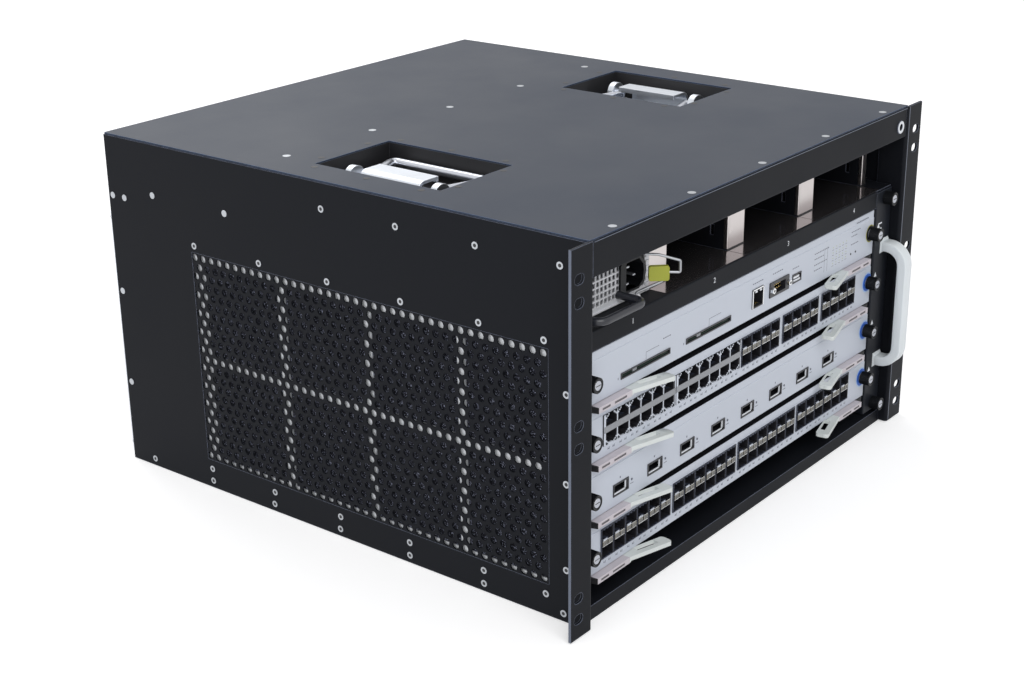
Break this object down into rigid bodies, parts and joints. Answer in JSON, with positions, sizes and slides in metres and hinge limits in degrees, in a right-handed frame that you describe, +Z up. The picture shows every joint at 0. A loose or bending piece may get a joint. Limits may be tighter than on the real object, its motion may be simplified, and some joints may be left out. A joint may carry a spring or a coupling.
{
  "type": "modular chassis switch",
  "caption": "Rack-mount network chassis with stacked line cards, power supply bays above, a fan tray at the right, a side air filter and two folding lifting handles.",
  "frame": {"origin": "middle of the whole object's width and depth, on the bottom surface that it stands on", "axes": "+X to the right as seen from the front, the front faces -Y, +Z up"},
  "size_m": [0.4826, 0.4864, 0.2776],
  "materials": {
    "chassis_paint": "satin",
    "cover_paint": "satin",
    "zinc": "satin",
    "dark_steel": "satin",
    "bail_steel": "satin",
    "foam": "matte",
    "board_laminate": "matte",
    "card_paint": "satin",
    "black_plastic": "matte",
    "lever_plastic": "matte",
    "tab_plastic": "matte",
    "tray_paint": "satin",
    "handle_paint": "satin"
  },
  "bodies": {
    "chassis": {"base_pan": "chassis_paint", "side_panel_left": "chassis_paint", "side_panel_right": "chassis_paint", "top_cover": "cover_paint", "rack_ear_left": "chassis_paint", "rack_ear_right": "chassis_paint", "front_bezel": "chassis_paint", "psu_shelf": "chassis_paint", "cage_wall_left": "chassis_paint", "cage_wall_right": "chassis_paint", "midplane_board": "board_laminate", "handle_well_left": "chassis_paint", "handle_well_right": "chassis_paint", "handle_bracket_left": "zinc", "handle_bracket_right": "zinc", "side_rivets": "zinc", "cover_screws": "zinc", "well_rivets": "dark_steel"},
    "card_1": {"card_1_faceplate": "card_paint", "card_1_board": "board_laminate"},
    "card_1_screw_left": {"card_1_screw_left": "black_plastic"},
    "card_1_screw_right": {"card_1_screw_right": "black_plastic"},
    "card_1_lever_left": {"card_1_lever_left": "lever_plastic"},
    "card_1_lever_right": {"card_1_lever_right": "lever_plastic"},
    "card_2": {"card_2_faceplate": "card_paint", "card_2_board": "board_laminate"},
    "card_2_screw_left": {"card_2_screw_left": "black_plastic"},
    "card_2_screw_right": {"card_2_screw_right": "black_plastic"},
    "card_2_lever_left": {"card_2_lever_left": "lever_plastic"},
    "card_2_lever_right": {"card_2_lever_right": "lever_plastic"},
    "card_3": {"card_3_faceplate": "card_paint", "card_3_board": "board_laminate"},
    "card_3_screw_left": {"card_3_screw_left": "black_plastic"},
    "card_3_screw_right": {"card_3_screw_right": "black_plastic"},
    "card_3_lever_left": {"card_3_lever_left": "lever_plastic"},
    "card_3_lever_right": {"card_3_lever_right": "lever_plastic"},
    "card_4": {"card_4_faceplate": "card_paint", "card_4_board": "board_laminate"},
    "card_4_screw_left": {"card_4_screw_left": "black_plastic"},
    "card_4_screw_right": {"card_4_screw_right": "black_plastic"},
    "card_4_lever_left": {"card_4_lever_left": "lever_plastic"},
    "card_4_lever_right": {"card_4_lever_right": "lever_plastic"},
    "power_supply": {"psu_case": "zinc", "psu_inlet": "black_plastic", "psu_handle": "black_plastic"},
    "cord_clip": {"cord_clip_wire": "zinc", "cord_clip_tab": "tab_plastic"},
    "fan_tray": {"fan_tray": "tray_paint", "fan_handle": "handle_paint"},
    "fan_tray_screw_low": {"fan_tray_screw_low": "black_plastic"},
    "fan_tray_screw_high": {"fan_tray_screw_high": "black_plastic"},
    "fan_rotor_1": {"fan_rotor_1": "black_plastic"},
    "fan_rotor_2": {"fan_rotor_2": "black_plastic"},
    "fan_rotor_3": {"fan_rotor_3": "black_plastic"},
    "air_filter": {"filter_frame": "zinc", "filter_foam": "foam"},
    "filter_screw_low": {"filter_screw_low": "black_plastic"},
    "filter_screw_high": {"filter_screw_high": "black_plastic"},
    "handle_bail_left": {"handle_bail_left": "bail_steel"},
    "handle_bail_right": {"handle_bail_right": "bail_steel"}
  },
  "joints": [
    {"name": "card_1_slide", "type": "slide", "parent": "chassis", "child": "card_1", "axis": [0, -1, 0], "range_m": [0, 0.38]},
    {"name": "card_1_screw_left_turn", "type": "hinge", "parent": "card_1", "child": "card_1_screw_left", "pos_m": [-0.21, -0.21825, 0.1766], "axis": [0, -1, 0], "continuous": true},
    {"name": "card_1_screw_right_turn", "type": "hinge", "parent": "card_1", "child": "card_1_screw_right", "pos_m": [0.1846, -0.21825, 0.1766], "axis": [0, -1, 0], "continuous": true},
    {"name": "card_1_lever_left_hinge", "type": "hinge", "parent": "card_1", "child": "card_1_lever_left", "pos_m": [-0.2085, -0.21305, 0.15555], "axis": [0, 0, -1], "range_deg": [0, 50]},
    {"name": "card_1_lever_right_hinge", "type": "hinge", "parent": "card_1", "child": "card_1_lever_right", "pos_m": [0.1825, -0.21305, 0.15555], "axis": [0, 0, 1], "range_deg": [0, 50]},
    {"name": "card_2_slide", "type": "slide", "parent": "chassis", "child": "card_2", "axis": [0, -1, 0], "range_m": [0, 0.38]},
    {"name": "card_2_screw_left_turn", "type": "hinge", "parent": "card_2", "child": "card_2_screw_left", "pos_m": [-0.21, -0.21825, 0.1344], "axis": [0, -1, 0], "continuous": true},
    {"name": "card_2_screw_right_turn", "type": "hinge", "parent": "card_2", "child": "card_2_screw_right", "pos_m": [0.1846, -0.21825, 0.1344], "axis": [0, -1, 0], "continuous": true},
    {"name": "card_2_lever_left_hinge", "type": "hinge", "parent": "card_2", "child": "card_2_lever_left", "pos_m": [-0.2085, -0.21305, 0.11335], "axis": [0, 0, -1], "range_deg": [0, 50]},
    {"name": "card_2_lever_right_hinge", "type": "hinge", "parent": "card_2", "child": "card_2_lever_right", "pos_m": [0.1825, -0.21305, 0.11335], "axis": [0, 0, 1], "range_deg": [0, 50]},
    {"name": "card_3_slide", "type": "slide", "parent": "chassis", "child": "card_3", "axis": [0, -1, 0], "range_m": [0, 0.38]},
    {"name": "card_3_screw_left_turn", "type": "hinge", "parent": "card_3", "child": "card_3_screw_left", "pos_m": [-0.21, -0.21825, 0.0922], "axis": [0, -1, 0], "continuous": true},
    {"name": "card_3_screw_right_turn", "type": "hinge", "parent": "card_3", "child": "card_3_screw_right", "pos_m": [0.1846, -0.21825, 0.0922], "axis": [0, -1, 0], "continuous": true},
    {"name": "card_3_lever_left_hinge", "type": "hinge", "parent": "card_3", "child": "card_3_lever_left", "pos_m": [-0.2085, -0.21305, 0.07115], "axis": [0, 0, -1], "range_deg": [0, 50]},
    {"name": "card_3_lever_right_hinge", "type": "hinge", "parent": "card_3", "child": "card_3_lever_right", "pos_m": [0.1825, -0.21305, 0.07115], "axis": [0, 0, 1], "range_deg": [0, 50]},
    {"name": "card_4_slide", "type": "slide", "parent": "chassis", "child": "card_4", "axis": [0, -1, 0], "range_m": [0, 0.38]},
    {"name": "card_4_screw_left_turn", "type": "hinge", "parent": "card_4", "child": "card_4_screw_left", "pos_m": [-0.21, -0.21825, 0.05], "axis": [0, -1, 0], "continuous": true},
    {"name": "card_4_screw_right_turn", "type": "hinge", "parent": "card_4", "child": "card_4_screw_right", "pos_m": [0.1846, -0.21825, 0.05], "axis": [0, -1, 0], "continuous": true},
    {"name": "card_4_lever_left_hinge", "type": "hinge", "parent": "card_4", "child": "card_4_lever_left", "pos_m": [-0.2085, -0.21305, 0.02895], "axis": [0, 0, -1], "range_deg": [0, 50]},
    {"name": "card_4_lever_right_hinge", "type": "hinge", "parent": "card_4", "child": "card_4_lever_right", "pos_m": [0.1825, -0.21305, 0.02895], "axis": [0, 0, 1], "range_deg": [0, 50]},
    {"name": "power_supply_slide", "type": "slide", "parent": "chassis", "child": "power_supply", "axis": [0, -1, 0], "range_m": [0, 0.38]},
    {"name": "cord_clip_hinge", "type": "hinge", "parent": "power_supply", "child": "cord_clip", "pos_m": [-0.1395, -0.20865, 0.2304], "axis": [0, 0, 1], "range_deg": [-52, 47]},
    {"name": "fan_tray_slide", "type": "slide", "parent": "chassis", "child": "fan_tray", "axis": [0, -1, 0], "range_m": [0, 0.38]},
    {"name": "fan_tray_screw_low_turn", "type": "hinge", "parent": "fan_tray", "child": "fan_tray_screw_low", "pos_m": [0.206, -0.21925, 0.0204], "axis": [0, -1, 0], "continuous": true},
    {"name": "fan_tray_screw_high_turn", "type": "hinge", "parent": "fan_tray", "child": "fan_tray_screw_high", "pos_m": [0.206, -0.21925, 0.2022], "axis": [0, -1, 0], "continuous": true},
    {"name": "fan_rotor_1_spin", "type": "hinge", "parent": "fan_tray", "child": "fan_rotor_1", "pos_m": [0.2, -0.13325, 0.111], "axis": [1, 0, 0], "continuous": true},
    {"name": "fan_rotor_2_spin", "type": "hinge", "parent": "fan_tray", "child": "fan_rotor_2", "pos_m": [0.2, -0.01325, 0.111], "axis": [1, 0, 0], "continuous": true},
    {"name": "fan_rotor_3_spin", "type": "hinge", "parent": "fan_tray", "child": "fan_rotor_3", "pos_m": [0.2, 0.10675, 0.111], "axis": [1, 0, 0], "continuous": true},
    {"name": "air_filter_slide", "type": "slide", "parent": "chassis", "child": "air_filter", "axis": [0, 1, 0], "range_m": [0, 0.42]},
    {"name": "filter_screw_low_turn", "type": "hinge", "parent": "air_filter", "child": "filter_screw_low", "pos_m": [-0.2122, 0.23875, 0.0122], "axis": [0, 1, 0], "continuous": true},
    {"name": "filter_screw_high_turn", "type": "hinge", "parent": "air_filter", "child": "filter_screw_high", "pos_m": [-0.2122, 0.23875, 0.207], "axis": [0, 1, 0], "continuous": true},
    {"name": "handle_bail_left_hinge", "type": "hinge", "parent": "chassis", "child": "handle_bail_left", "pos_m": [-0.166, -0.01825, 0.2646], "axis": [0, -1, 0], "range_deg": [0, 95]},
    {"name": "handle_bail_right_hinge", "type": "hinge", "parent": "chassis", "child": "handle_bail_right", "pos_m": [0.166, -0.01825, 0.2646], "axis": [0, 1, 0], "range_deg": [0, 95]}
  ]
}
